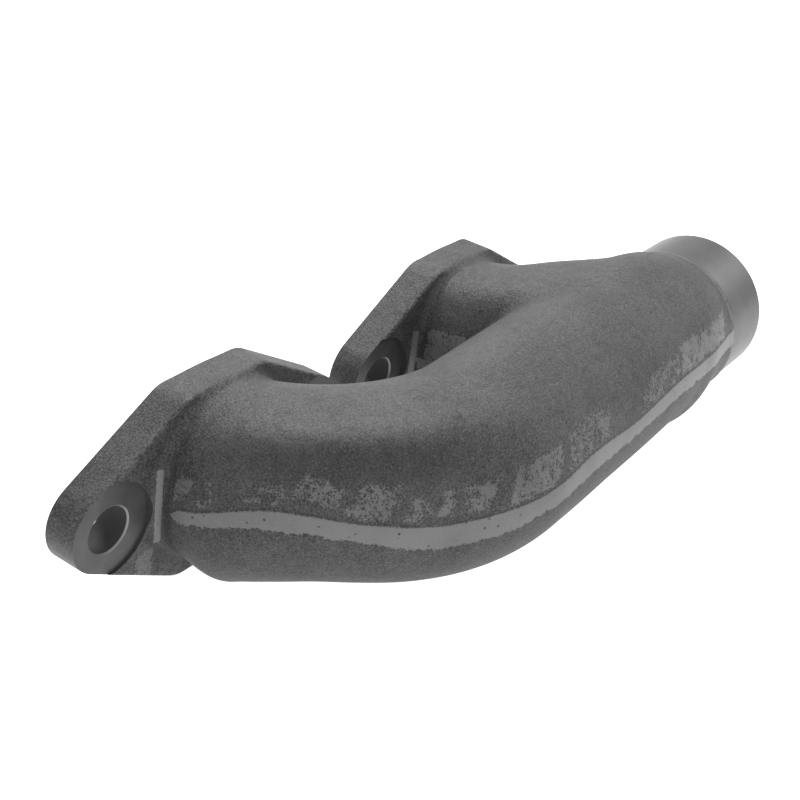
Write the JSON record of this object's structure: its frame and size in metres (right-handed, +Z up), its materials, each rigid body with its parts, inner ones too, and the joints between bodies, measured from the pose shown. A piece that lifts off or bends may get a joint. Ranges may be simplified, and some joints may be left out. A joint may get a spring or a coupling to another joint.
{
  "type": "exhaust manifold section",
  "caption": "Cast-iron exhaust manifold end section with two flanged ports, swept runners and a slip-joint spigot outlet",
  "frame": {"origin": "centre of the front flange's bolt line, on its mating face", "axes": "+X runs along the cylinder head from the front port to the rear port and the outlet, +Y points from the manifold into the cylinder head, +Z is up"},
  "size_m": [0.2567, 0.0959, 0.0693],
  "materials": {
    "cast_iron": "sand-cast, lightly shot-blasted",
    "turned_iron": "turned"
  },
  "bodies": {
    "root": {"front_flange": "cast_iron", "front_elbow": "cast_iron", "log_tube": "cast_iron", "rear_runner": "cast_iron", "rear_flange": "cast_iron", "outlet_spigot": "turned_iron"}
  },
  "joints": []
}
